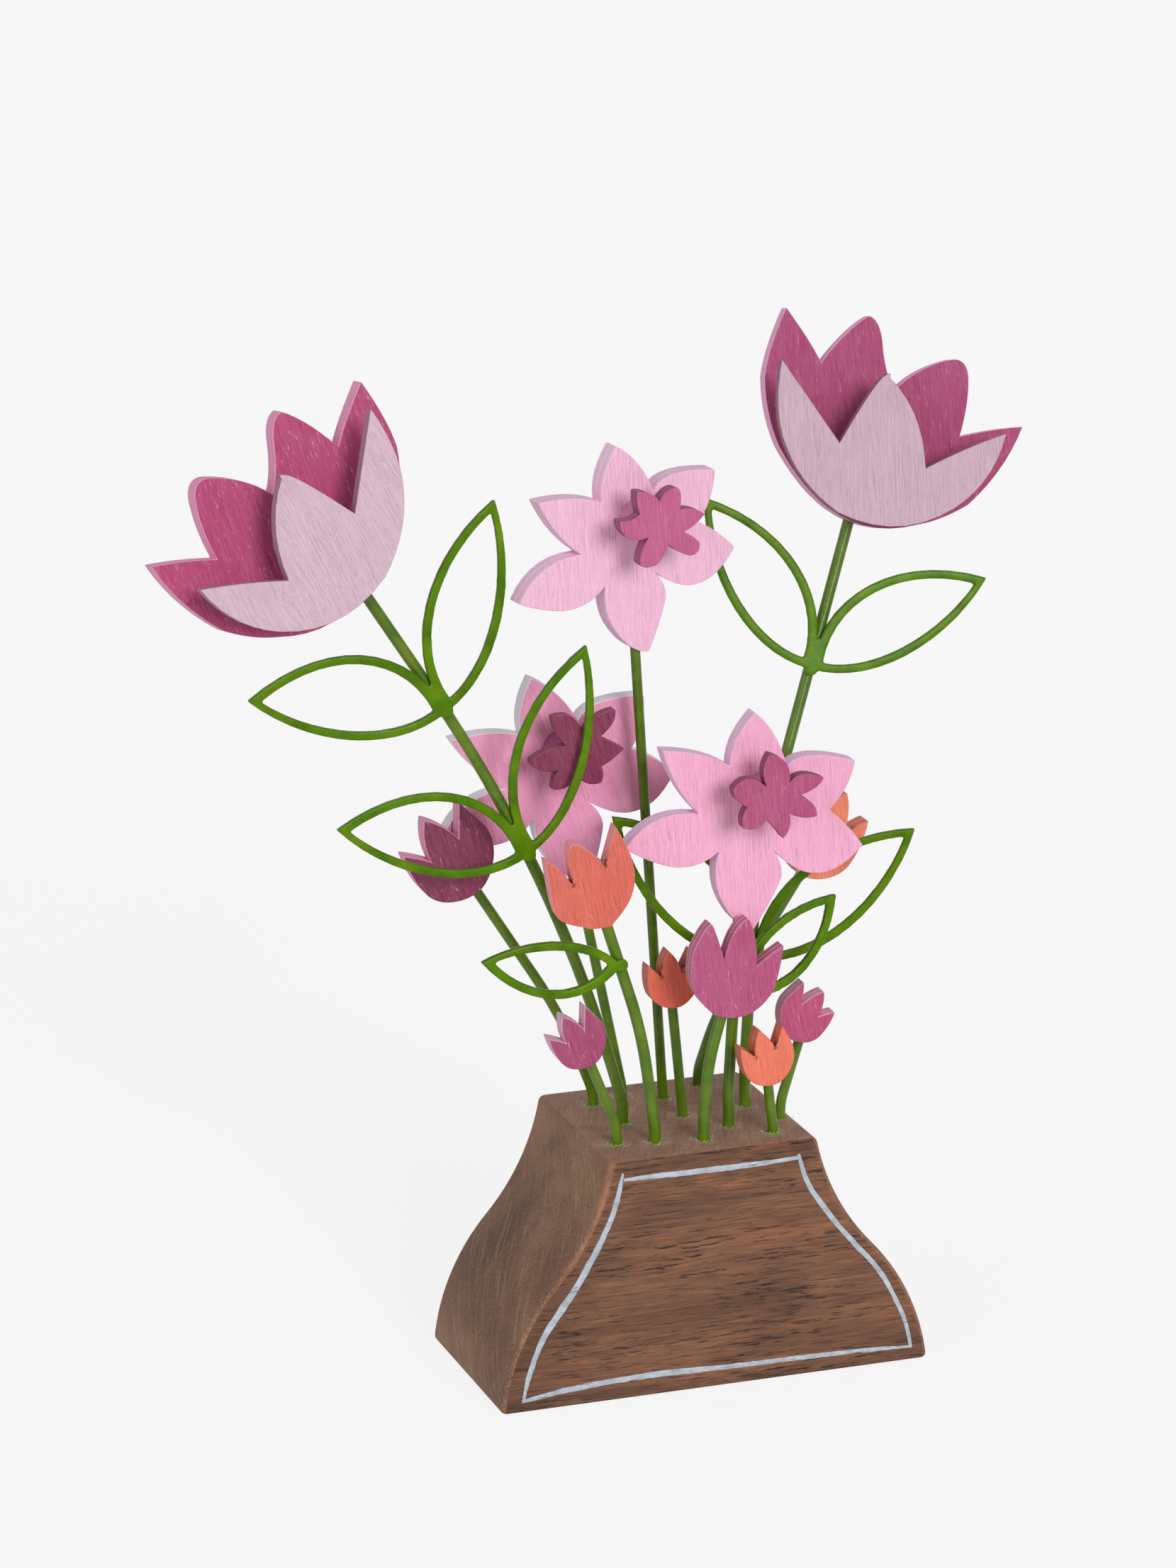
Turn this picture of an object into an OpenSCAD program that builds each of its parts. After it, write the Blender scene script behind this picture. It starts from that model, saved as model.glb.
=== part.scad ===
// A standing bunch of flat wooden tulips and daffodils on bent green wires,
// set into a wooden block. X runs to the right, Y to the back and Z up, and the
// origin is the middle of the block's underside. Millimetres and degrees.

/* [Block] */
// Width of the block at its underside
block_w = 125; // [110:1:140]
// Width of the block's flat top
block_top_w = 60; // [54:1:66]
// Height of the block
block_h = 69; // [62:1:76]
// Depth of the block, front to back
block_d = 64; // [58:1:72]
// How far the middle of the bulging lower flanks lies under the block
flank_drop = 6.5; // [4:0.5:9]
// Radius of the hollow upper flanks
hollow_r = 66; // [58:1:80]
// Depth of the holes that hold the wires
hole_depth = 16; // [10:1:24]

/* [Wires] */
// Diameter of the stout wires
wire_d = 3.2; // [2.8:0.1:3.8]
// Diameter of the slim wires
slim_wire_d = 2.8; // [2.4:0.1:3.2]
// Clearance round a wire in its hole
wire_clear = 0.12; // [0.08:0.02:0.2]
// Length of the left tulip's wire above the block
left_tulip_rise = 169; // [157:1:177]
// Length of the right tulip's wire above the block
right_tulip_rise = 167; // [160:1:175]
// Length of the upper daffodil's wire above the block
upper_daffodil_rise = 132; // [128:1:140]
// Length of the left daffodil's wire above the block
left_daffodil_rise = 65; // [61:1:69]
// Length of the lower daffodil's wire above the block
lower_daffodil_rise = 58; // [55:1:63]
// Length of the purple tulip's wire above the block
purple_tulip_rise = 74.5; // [70:0.5:78]
// Length of the coral tulip's wire above the block
coral_tulip_rise = 65; // [62:0.5:68]
// Length of the rear coral tulip's wire above the block
rear_tulip_rise = 66.5; // [62:0.5:72]
// Length of the front tulip's wire above the block
front_tulip_rise = 34.5; // [32:0.5:38]
// Length of the small tulips' longest wire above the block
red_tulip_rise = 31.5; // [28:0.5:34]
// Length of the small left tulip's wire above the block
small_left_rise = 24; // [21:0.5:27]
// Length of the small coral tulip's wire above the block
small_coral_rise = 12.6; // [11:0.1:14]
// Length of the small right tulip's wire above the block
small_right_rise = 22; // [20:0.5:24]

/* [Boards] */
// Thickness of the flower boards
board_t = 6; // [5:0.25:7]
// Thickness of the big tulips' front boards
front_t = 3.5; // [2.5:0.25:5]
// Thickness of the daffodils' star boards
star_t = 4; // [3:0.25:6]
// Length of the dowels that hold the big tulips' front boards off
spacer_len = 11.5; // [8:0.5:13]
// Length of the dowels that hold the stars off
star_spacer_len = 11; // [8:0.5:12]
// Diameter of those dowels
spacer_d = 10; // [6:0.5:12]

/* [Flowers] */
// Width of the big tulips' back board
big_tulip_w = 72; // [66:1:78]
// Width of the big tulips' front board
big_front_w = 61; // [56:0.5:65]
// Width of a daffodil's ring of petals
daffodil_w = 68; // [63:1:72]
// Width of a daffodil's star
star_w = 26; // [22:1:29]
// Width of the middle tulips
mid_tulip_w = 26; // [23:0.5:28]
// Width of the small tulips
small_tulip_w = 16.2; // [14.4:0.2:17.6]
// How far a wire runs into a big tulip
tulip_bore = 12; // [8:1:16]
// How far a wire runs into a daffodil
daffodil_bore = 11; // [8:1:14]
// How far a wire runs into a middle tulip
mid_bore = 8; // [5:0.5:10]
// How far a wire runs into a small tulip
small_bore = 5; // [3:0.5:6]

/* [Leaves] */
// Thickness of the leaf sheets
leaf_t = 1.8; // [1.4:0.1:2.2]
// Width of the strip left round each leaf
leaf_strip = 2.5; // [2:0.1:2.9]
// Depth of the groove by which a leaf sits on its wire
leaf_seat = 0.4; // [0.3:0.05:0.5]
// Length of the outer leaf of a pair
spread_leaf_len = 56; // [50:1:60]
// Length of the inner leaf of a pair
upright_leaf_len = 59; // [54:1:62]
// Length of the two single leaves
small_leaf_len = 40; // [36:0.5:43]

/* [Hidden] */
$fn = 64;
steps = 7;
overrun = block_d / 16;
straight_share = 0.99;
wire_lap = wire_d / 10;

// The flank is a bulging circle below and a hollow one above, tangent to it
flank_r = norm([block_w / 2, flank_drop]);
corner = [block_top_w / 2, block_h];
corner_way = corner + [0, flank_drop];
corner_reach = norm(corner_way);
centre_reach = flank_r + hollow_r;
centre_turn = acos(
    (pow(centre_reach, 2) + pow(corner_reach, 2) - pow(hollow_r, 2))
    / (2 * centre_reach * corner_reach));
centre_angle = atan2(corner_way[1], corner_way[0]) - centre_turn;
hollow_centre = centre_reach * [cos(centre_angle), sin(centre_angle)] - [0, flank_drop];
join = flank_r * [cos(centre_angle), sin(centre_angle)] - [0, flank_drop];
ledge = block_w / 4000;

// Each wire: its foot on the block's top as shares of half the top's width and
// half the depth, the way its bends head, the way its flower faces, its length
// above the block, its diameter, and its bends. A bend is the straight run
// before it, its turn to the right, and its radius, as shares of the length.
bend_left_tulip_shares = [
    [0.024, -15.5, 0.1], [0.06, -9, 2.45], [0.004, -6.4, 2.45], [0.004, -1.2, 2.45]
];
bend_right_tulip_shares = [[0.066, 5.4, 0.1], [0.291, 16.3, 0.36]];
bend_upper_daffodil_shares = [[0.008, -5.3, 0.12]];
bend_left_daffodil_shares = [[0.015, -11, 0.31]];
bend_lower_daffodil_shares = [[0.167, 4, 0.28]];
bend_purple_tulip_shares = [[0.007, -21, 0.22], [0.094, -11, 2.15]];
bend_coral_tulip_shares = [[0.04, -7, 0.25], [0.25, -10, 1.95]];
bend_rear_tulip_shares = [[0.023, 20, 0.24], [0.083, 14, 1.16]];
bend_front_tulip_shares = [[0.16, 6, 0.46], [0.26, 11, 2]];
bend_red_tulip_shares = [[0.03, -5, 0.5]];
bend_small_left_shares = [[0.08, -21, 0.67]];
bend_small_coral_shares = [[0.04, -6, 1.26]];
bend_small_right_shares = [[0.095, 18, 0.76]];

foot_left_tulip_shares = [-0.533, -0.022];
foot_right_tulip_shares = [0.7, 0.05];
foot_upper_daffodil_shares = [0.06, 0.513];
foot_left_daffodil_shares = [-0.283, 0.678];
foot_lower_daffodil_shares = [0.353, -0.425];
foot_purple_tulip_shares = [-0.613, 0.547];
foot_coral_tulip_shares = [-0.427, -0.59];
foot_rear_tulip_shares = [0.493, 0.738];
foot_front_tulip_shares = [0.01, -0.688];
foot_red_tulip_shares = [0.06, -0.009];
foot_small_left_shares = [-0.773, -0.525];
foot_small_coral_shares = [0.67, -0.722];
foot_small_right_shares = [0.877, -0.39];

left_tulip = [foot_left_tulip_shares, -5, 7, left_tulip_rise, wire_d, bend_left_tulip_shares];
right_tulip = [foot_right_tulip_shares, 24, -9, right_tulip_rise, wire_d, bend_right_tulip_shares];
upper_daffodil = [foot_upper_daffodil_shares, 41, 10, upper_daffodil_rise, slim_wire_d,
    bend_upper_daffodil_shares];
left_daffodil = [foot_left_daffodil_shares, 0, -1, left_daffodil_rise, slim_wire_d,
    bend_left_daffodil_shares];
lower_daffodil = [foot_lower_daffodil_shares, 0, -1, lower_daffodil_rise, wire_d,
    bend_lower_daffodil_shares];
purple = [foot_purple_tulip_shares, 3, 0, purple_tulip_rise, slim_wire_d, bend_purple_tulip_shares];
coral = [foot_coral_tulip_shares, 0, -5, coral_tulip_rise, wire_d, bend_coral_tulip_shares];
rear = [foot_rear_tulip_shares, 0, 5, rear_tulip_rise, slim_wire_d, bend_rear_tulip_shares];
front = [foot_front_tulip_shares, 0, -3, front_tulip_rise, wire_d, bend_front_tulip_shares];
red = [foot_red_tulip_shares, 0, -2, red_tulip_rise, slim_wire_d, bend_red_tulip_shares];
small_left = [foot_small_left_shares, 0, -2, small_left_rise, slim_wire_d, bend_small_left_shares];
small_coral = [foot_small_coral_shares, 0, -2, small_coral_rise, slim_wire_d,
    bend_small_coral_shares];
small_right = [foot_small_right_shares, 0, -4, small_right_rise, slim_wire_d,
    bend_small_right_shares];
wires = [left_tulip, right_tulip, upper_daffodil, left_daffodil, lower_daffodil, purple, coral,
    rear, front, red, small_left, small_coral, small_right];

function foot(w) = [w[0][0] * block_top_w / 2, w[0][1] * block_d / 2, block_h];
function heading(w) = w[1];
function facing(w) = w[2];
function rise(w) = w[3];
function thick(w) = w[4];
function bends(w) = w[5];
function run(w, i) = bends(w)[i][0] * rise(w);
function turn(w, i) = bends(w)[i][1];
function radius(w, i) = bends(w)[i][2] * rise(w);
function spent(w, i = 0) =
    i == len(bends(w)) ? 0
    : run(w, i) + abs(turn(w, i)) * PI / 180 * radius(w, i) + spent(w, i + 1);
function last_run(w) = rise(w) - spent(w);

// Outlines. A row is a corner or a turning point and then the point that the
// edge to the next row bends towards, all as shares of half the board's width.
big_back_shares = [
    [-0.84, 0.62, -0.69, 0.34], [-0.63, 0.16, -0.39, 0.39], [-0.2, 0.46, -0.11, 0.41],
    [-0.13, 0.2, -0.14, -0.02], [-0.09, -0.14, 0.1, 0.01], [0.39, 0.03, 0.51, 0.03],
    [0.51, -0.11, 0.49, -0.32], [0.37, -0.57, 0.63, -0.55], [0.88, -0.57, 0.69, -0.89],
    [0.36, -1.1, 0.13, -1.19], [-0.06, -1.19, -0.47, -1.23], [-0.75, -0.95, -0.94, -0.75],
    [-1.06, -0.42, -1.13, -0.17], [-1.09, 0.12, -1.03, 0.33]
];
big_front_shares = [
    [-0.68, 0.88, -0.6, 0.44], [-0.52, -0.02, -0.04, 0.3], [0.09, 0.34, 0.21, 0.36],
    [0.15, 0.31, 0.3, -0.11], [0.1, -0.57, 0.54, -0.56], [0.91, -0.61, 0.62, -0.96],
    [0.19, -1.01, -0.41, -1.07], [-0.8, -0.58, -1.01, -0.21], [-0.98, 0.16, -0.96, 0.5]
];
petal_shares = [
    [-0.15, 0.77, 0.06, 0.66], [0.2, 0.37, 0.3, 0.54], [0.76, 0.48, 0.76, 0.24],
    [0.62, 0.06, 0.8, -0.03], [0.96, -0.19, 0.8, -0.45], [0.6, -0.46, 0.45, -0.48],
    [0.23, -0.32, 0.33, -0.42], [0.33, -0.53, 0.29, -0.72], [0.18, -0.97, 0, -0.97],
    [-0.16, -0.72, -0.25, -0.56], [-0.23, -0.37, -0.37, -0.54], [-0.6, -0.535, -0.8, -0.52],
    [-1.01, -0.43, -0.85, -0.09], [-0.45, -0.09, -0.7, 0.08], [-0.85, 0.38, -0.5, 0.42],
    [-0.27, 0.32, -0.31, 0.52]
];
tulip_shares = [
    [-0.29, 0.94, -0.27, 0.5], [-0.25, 0.14, 0.08, 0.5], [0.485, 0.65, 0.58, 0.2],
    [0.385, -0.285, 0.65, -0.16], [0.985, -0.07, 0.83, -0.66], [0.5, -1.02, 0.28, -1.24],
    [-0.08, -1.24, -0.45, -1.24], [-0.7, -1.03, -0.95, -0.77], [-1, -0.33, -1.03, 0.06],
    [-0.85, 0.33, -0.62, 0.62]
];
coral_tulip_shares = [
    [-0.33, 0.97, -0.3, 0.36], [-0.3, 0.14, 0.34, 0.52], [0.46, 0.47, 0.63, 0.39],
    [0.26, -0.37, 0.77, 0.03], [0.94, 0.02, 0.61, -0.83], [0.49, -1, 0.42, -1.23],
    [-0.2, -1.2, -0.24, -1.27], [-0.71, -1.1, -0.98, -0.62], [-0.99, -0.39, -1.03, 0.02],
    [-0.81, 0.36, -0.79, 0.46]
];
front_tulip_shares = [
    [-0.3, 0.81, -0.25, 0.76], [-0.21, -0.01, 0.12, 0.63], [0.47, 0.67, 0.58, 0.26],
    [0.4, -0.34, 0.72, -0.2], [1.04, -0.1, 0.82, -0.65], [0.62, -0.95, 0.26, -1.27],
    [-0.07, -1.27, -0.48, -1.24], [-0.69, -1.04, -0.95, -0.61], [-0.96, -0.35, -0.97, -0.02],
    [-0.77, 0.37, -0.5, 0.71]
];
upper_star_shares = [
    [-0.49, 1.29, -0.3, 1.3], [-0.12, 1.18, 0, 1.12], [0.03, 1.02, 0.2, 1.3],
    [0.45, 1.28, 0.6, 1.2], [0.52, 0.8, 0.85, 0.85], [1.12, 0.64, 0.85, 0.36],
    [0.57, 0.3, 0.75, 0.3], [1, 0.05, 1.05, -0.2], [0.8, -0.22, 0.6, -0.18],
    [0.25, 0.09, 0.2, -0.15], [0, -0.32, -0.38, -0.42], [-0.4, -0.2, -0.38, 0.05],
    [-0.2, 0.3, -0.5, 0.2], [-0.72, 0.36, -0.9, 0.5], [-0.88, 0.72, -0.62, 0.66],
    [-0.42, 0.8, -0.52, 1.05]
];
left_star_shares = [
    [-0.31, 1.35, 0, 1.42], [0.14, 1.28, 0.28, 1.1], [0.32, 0.92, 0.6, 1.3],
    [1.07, 1.3, 1.1, 1], [0.68, 0.76, 0.95, 0.6], [1.19, 0.42, 0.9, 0.2],
    [0.66, 0.12, 0.72, -0.1], [0.62, -0.23, 0.3, -0.3], [0.1, 0.02, -0.1, -0.3],
    [-0.45, -0.2, -0.4, 0.1], [-0.28, 0.2, -0.6, 0.15], [-0.82, 0.36, -0.95, 0.5],
    [-0.74, 0.57, -0.4, 0.75], [-0.06, 0.69, -0.32, 1]
];
lower_star_shares = [
    [-0.32, 1.32, -0.05, 1.3], [0.1, 1.14, 0.25, 0.95], [0.22, 0.76, 0.4, 1.1],
    [0.96, 0.95, 0.9, 0.7], [0.51, 0.52, 0.95, 0.4], [0.97, 0.12, 0.7, 0],
    [0.35, 0.11, 0.5, -0.2], [0.32, -0.43, 0.1, -0.2], [-0.12, -0.08, -0.25, -0.38],
    [-0.59, -0.31, -0.72, -0.1], [-0.59, 0.15, -0.95, 0.25], [-0.97, 0.5, -0.85, 0.75],
    [-0.6, 0.76, -0.4, 0.72], [-0.25, 0.61, -0.5, 0.95]
];

function bow(a, b, c, t) = pow(1 - t, 2) * a + 2 * t * (1 - t) * b + t * t * c;
function outline(rows, half) = [
    for (i = [0 : len(rows) - 1])
        let (a = rows[i], b = rows[(i + 1) % len(rows)])
            for (k = [0 : steps - 1])
                half * bow([a[0], a[1]], [a[2], a[3]], [b[0], b[1]], k / steps)
];

// How each board sits on its wire: where the wire enters it, as shares of half
// its width, how far the wire leans to the right in the board's own frame, and
// the board's width as a share of the named one.
big_left_seat_shares = [-0.826, -1.013, 31.6, 1.005];
big_right_seat_shares = [-0.586, -1.09, 24, 0.995];
upper_petal_seat_shares = [0.1, -0.988, -4.9, 0.994];
left_petal_seat_shares = [0.105, -0.986, -6.6, 1.023];
lower_petal_seat_shares = [0.076, -0.953, -7.7, 1.019];
purple_seat_shares = [-0.647, -1.163, 29.5, 1];
coral_seat_shares = [-0.671, -1.136, 30.5, 1.03];
rear_seat_shares = [-0.611, -1.16, 36.1, 0.99];
front_seat_shares = [-0.532, -1.247, 29.5, 1.05];
small_left_seat_shares = [-0.575, -1.33, 20.3, 1.01];
red_seat_shares = [-0.574, -1.239, 29, 0.995];
small_coral_seat_shares = [-0.515, -1.4, 21.3, 0.996];
small_right_seat_shares = [-0.106, -1.348, 9.6, 0.97];

// Where the front boards and stars sit on the boards behind them, as shares of
// half the back board's width, and the front boards' own turn.
left_front_place_shares = [-0.129, -0.251, 3.1];
right_front_place_shares = [-0.26, -0.311, 16.7];
upper_star_place_shares = [-0.013, 0.009];
left_star_place_shares = [-0.013, 0.046];
lower_star_place_shares = [-0.014, 0.049];
left_front_dowel_shares = [-0.2, -0.5];
right_front_dowel_shares = [-0.22, -0.5];
star_dowel_shares = [0.03, 0.17];

// Leaf loops: the angle to the wire, the length as a share of the named one,
// and how far the right and the left side swell, as shares of the length.
left_upper_leaf_shares = [[-51, 0.995, 0.254, 0.164], [45.8, 1, 0.158, 0.207]];
left_lower_leaf_shares = [[-52.6, 0.991, 0.254, 0.167], [41.8, 1.012, 0.152, 0.207]];
right_upper_leaf_shares = [[-48.2, 1, 0.236, 0.16], [47.7, 0.954, 0.164, 0.218]];
right_lower_leaf_shares = [[-48.5, 1.04, 0.198, 0.176], [46.2, 0.988, 0.171, 0.209]];
coral_leaf_shares = [-65.4, 1.008, 0.155, 0.245];
daffodil_leaf_shares = [45.6, 0.985, 0.244, 0.197];
leaf_pull_shares = [0.22, 0.66];
// How far past its bend each leaf or pair leaves the wire
ahead_left_upper_share = 0.006;
ahead_left_lower_share = 0.003;
ahead_right_upper_share = 0.28;
ahead_right_lower_share = 0.177;
ahead_coral_share = 0.159;
ahead_daffodil_share = 0.466;

module past_bend(angle, r) {
    side = angle > 0 ? r : -r;
    translate([side, 0, 0]) rotate([0, angle, 0]) translate([-side, 0, 0]) children();
}

module elbow(angle, r, wire_r) {
    mirror([angle > 0 ? 1 : 0, 0, 0])
        translate([-r, 0, 0]) rotate([90, 0, 0])
            rotate_extrude(angle = abs(angle)) translate([r, 0]) circle(wire_r);
}

// Straights are a hair slimmer than bends, and their ends sink into them.
module chain(w, wire_r, root, tail, i = 0) {
    last = i == len(bends(w));
    length = last ? last_run(w) + tail : run(w, i) + wire_lap;
    translate([0, 0, -root]) cylinder(h = root + length, r = wire_r * straight_share);
    if (!last) translate([0, 0, run(w, i)]) {
        elbow(turn(w, i), radius(w, i), wire_r);
        past_bend(turn(w, i), radius(w, i)) chain(w, wire_r, wire_lap, tail, i + 1);
    }
}

module at_foot(w) {
    translate(foot(w)) rotate([0, 0, heading(w)]) children();
}

module along(w, last, i = 0) {
    translate([0, 0, run(w, i)]) past_bend(turn(w, i), radius(w, i))
        if (i == last) {
            children();
        } else {
            along(w, last, i + 1) children();
        }
}

// The frame some way past a numbered bend, turned to face the way given
module past(w, last, ahead, face) {
    at_foot(w) along(w, last) translate([0, 0, ahead * rise(w)])
        rotate([0, 0, face - heading(w)]) children();
}

// The frame where a wire enters its flower
module at_tip(w) {
    at_foot(w) along(w, len(bends(w)) - 1) translate([0, 0, last_run(w)])
        rotate([0, 0, facing(w) - heading(w)]) children();
}

module wire(w, bore) {
    at_foot(w) chain(w, thick(w) / 2, hole_depth - wire_clear, bore - wire_clear);
}

function half(wide, seat) = seat[3] * wide / 2;

// Carries a drawing from a board's own frame to the tip of its wire
module on_tip(w, seat, wide, flip) {
    at_tip(w) mirror([flip ? 1 : 0, 0, 0]) rotate([90, 0, 0]) rotate([0, 0, seat[2]])
        translate([-seat[0] * half(wide, seat), -seat[1] * half(wide, seat), 0]) children();
}

module board(rows, reach, t) {
    translate([0, 0, -t / 2]) linear_extrude(t) polygon(outline(rows, reach));
}

// A flower board on its wire, bored for it
module flower(w, rows, seat, wide, bore, flip) {
    difference() {
        on_tip(w, seat, wide, flip) board(rows, half(wide, seat), board_t);
        at_tip(w) translate([0, 0, -overrun])
            cylinder(h = overrun + bore, r = thick(w) / 2 + wire_clear);
    }
}

module daffodil_star(w, seat, rows, place) {
    reach = half(daffodil_w, seat);
    on_tip(w, seat, daffodil_w, false)
        translate([place[0] * reach, place[1] * reach, board_t / 2 + star_spacer_len + star_t / 2])
            board(rows, star_w / 2, star_t);
}

module daffodil_spacer(w, seat) {
    reach = half(daffodil_w, seat);
    on_tip(w, seat, daffodil_w, false)
        translate([star_dowel_shares[0] * reach, star_dowel_shares[1] * reach, board_t / 2])
            cylinder(h = star_spacer_len, d = spacer_d);
}

module big_front(w, seat, place, flip) {
    reach = half(big_tulip_w, seat);
    on_tip(w, seat, big_tulip_w, flip)
        translate([place[0] * reach, place[1] * reach, board_t / 2 + spacer_len + front_t / 2])
            rotate([0, 0, place[2]]) board(big_front_shares, big_front_w / 2, front_t);
}

module big_spacer(w, seat, place, flip) {
    reach = half(big_tulip_w, seat);
    on_tip(w, seat, big_tulip_w, flip)
        translate([place[0] * reach, place[1] * reach, board_t / 2])
            cylinder(h = spacer_len, d = spacer_d);
}

// One side of a leaf, from its foot to its point, swelling by the share given
function side(length, swell) = [
    for (k = [0 : 2 * steps])
        let (t = k / (2 * steps))
            length * [4 * t * (1 - t) * swell,
                3 * t * pow(1 - t, 2) * leaf_pull_shares[0]
                + 3 * t * t * (1 - t) * leaf_pull_shares[1] + pow(t, 3)]
];
function reversed(points) = [for (k = [len(points) - 2 : -1 : 1]) points[k]];
function lens(length, right, left) =
    concat(side(length, right), reversed(side(length, -left)));
function shrunk(swell, length, inner) = (swell * length - leaf_strip) / inner;

// A leaf loop that leaves the wire at an angle
module loop(long, leaf) {
    length = long * leaf[1];
    nib = 1.5 * leaf_strip;
    inner = length - 2 * nib;
    rotate([0, 0, -leaf[0]]) linear_extrude(leaf_t) difference() {
        polygon(lens(length, leaf[2], leaf[3]));
        translate([0, nib])
            polygon(lens(inner, shrunk(leaf[2], length, inner), shrunk(leaf[3], length, inner)));
    }
}

// Carries leaves to the front of their wire, joined by a round foot
module on_wire() {
    rotate([90, 0, 0]) translate([0, 0, wire_d / 2 - leaf_seat]) {
        cylinder(h = leaf_t, d = 1.5 * leaf_strip);
        children();
    }
}

module pair(w, bend, ahead, face, leaves, flip) {
    difference() {
        past(w, bend, ahead, face) mirror([flip ? 1 : 0, 0, 0]) on_wire() {
            loop(spread_leaf_len, leaves[0]);
            loop(upright_leaf_len, leaves[1]);
        }
        at_foot(w) chain(w, thick(w) / 2 + wire_clear, 0, 0);
    }
}

module single(w, bend, ahead, face, leaf) {
    difference() {
        past(w, bend, ahead, face) on_wire() loop(small_leaf_len, leaf);
        at_foot(w) chain(w, thick(w) / 2 + wire_clear, 0, 0);
    }
}

module base_block() {
    color("rosybrown") difference() {
        rotate([90, 0, 0]) translate([0, 0, -block_d / 2]) linear_extrude(block_d) union() {
            intersection() {
                translate([0, -flank_drop]) circle(flank_r, $fn = 160);
                translate([-block_w, 0]) square([2 * block_w, join[1]]);
            }
            difference() {
                translate([ledge - join[0], join[1] - overrun])
                    square([2 * (join[0] - ledge), block_h - join[1] + overrun]);
                for (way = [-1, 1])
                    translate([way * hollow_centre[0], hollow_centre[1]])
                        circle(hollow_r, $fn = 160);
            }
        }
        for (w = wires)
            translate(foot(w) - [0, 0, hole_depth])
                cylinder(h = hole_depth + overrun, r = thick(w) / 2 + wire_clear);
    }
}

module left_tulip_stem() { color("olivedrab") wire(left_tulip, tulip_bore); }
module right_tulip_stem() { color("olivedrab") wire(right_tulip, tulip_bore); }
module upper_daffodil_stem() { color("olivedrab") wire(upper_daffodil, daffodil_bore); }
module left_daffodil_stem() { color("olivedrab") wire(left_daffodil, daffodil_bore); }
module lower_daffodil_stem() { color("olivedrab") wire(lower_daffodil, daffodil_bore); }
module purple_tulip_stem() { color("olivedrab") wire(purple, mid_bore); }
module coral_tulip_stem() { color("olivedrab") wire(coral, mid_bore); }
module rear_coral_tulip_stem() { color("olivedrab") wire(rear, mid_bore); }
module front_magenta_tulip_stem() { color("olivedrab") wire(front, mid_bore); }
module small_red_tulip_stem() { color("olivedrab") wire(red, small_bore); }
module small_left_tulip_stem() { color("olivedrab") wire(small_left, small_bore); }
module small_coral_tulip_stem() { color("olivedrab") wire(small_coral, small_bore); }
module small_right_tulip_stem() { color("olivedrab") wire(small_right, small_bore); }

module left_tulip_back() {
    color("mediumvioletred")
        flower(left_tulip, big_back_shares, big_left_seat_shares, big_tulip_w, tulip_bore, true);
}
module left_tulip_front() {
    color("thistle") big_front(left_tulip, big_left_seat_shares, left_front_place_shares, true);
}
module left_tulip_spacer() {
    color("burlywood") big_spacer(left_tulip, big_left_seat_shares, left_front_dowel_shares, true);
}
module right_tulip_back() {
    color("mediumvioletred")
        flower(right_tulip, big_back_shares, big_right_seat_shares, big_tulip_w, tulip_bore, false);
}
module right_tulip_front() {
    color("thistle") big_front(right_tulip, big_right_seat_shares, right_front_place_shares, false);
}
module right_tulip_spacer() {
    color("burlywood")
        big_spacer(right_tulip, big_right_seat_shares, right_front_dowel_shares, false);
}

module upper_daffodil_petals() {
    color("pink")
        flower(upper_daffodil, petal_shares, upper_petal_seat_shares, daffodil_w, daffodil_bore,
            false);
}
module upper_daffodil_star() {
    color("palevioletred")
        daffodil_star(upper_daffodil, upper_petal_seat_shares, upper_star_shares,
            upper_star_place_shares);
}
module upper_daffodil_spacer() {
    color("burlywood") daffodil_spacer(upper_daffodil, upper_petal_seat_shares);
}
module left_daffodil_petals() {
    color("palevioletred")
        flower(left_daffodil, petal_shares, left_petal_seat_shares, daffodil_w, daffodil_bore,
            false);
}
module left_daffodil_star() {
    color("maroon")
        daffodil_star(left_daffodil, left_petal_seat_shares, left_star_shares,
            left_star_place_shares);
}
module left_daffodil_spacer() {
    color("burlywood") daffodil_spacer(left_daffodil, left_petal_seat_shares);
}
module lower_daffodil_petals() {
    color("pink")
        flower(lower_daffodil, petal_shares, lower_petal_seat_shares, daffodil_w, daffodil_bore,
            false);
}
module lower_daffodil_star() {
    color("palevioletred")
        daffodil_star(lower_daffodil, lower_petal_seat_shares, lower_star_shares,
            lower_star_place_shares);
}
module lower_daffodil_spacer() {
    color("burlywood") daffodil_spacer(lower_daffodil, lower_petal_seat_shares);
}

module purple_tulip() {
    color("brown") flower(purple, tulip_shares, purple_seat_shares, mid_tulip_w, mid_bore, true);
}
module coral_tulip() {
    color("salmon")
        flower(coral, coral_tulip_shares, coral_seat_shares, mid_tulip_w, mid_bore, true);
}
module rear_coral_tulip() {
    color("coral") flower(rear, tulip_shares, rear_seat_shares, mid_tulip_w, mid_bore, false);
}
module front_magenta_tulip() {
    color("orchid")
        flower(front, front_tulip_shares, front_seat_shares, mid_tulip_w, mid_bore, false);
}
module small_red_tulip() {
    color("tomato") flower(red, tulip_shares, red_seat_shares, small_tulip_w, small_bore, true);
}
module small_left_tulip() {
    color("orchid")
        flower(small_left, tulip_shares, small_left_seat_shares, small_tulip_w, small_bore, true);
}
module small_coral_tulip() {
    color("coral")
        flower(small_coral, tulip_shares, small_coral_seat_shares, small_tulip_w, small_bore, true);
}
module small_right_tulip() {
    color("orchid")
        flower(small_right, tulip_shares, small_right_seat_shares, small_tulip_w, small_bore,
            false);
}

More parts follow.
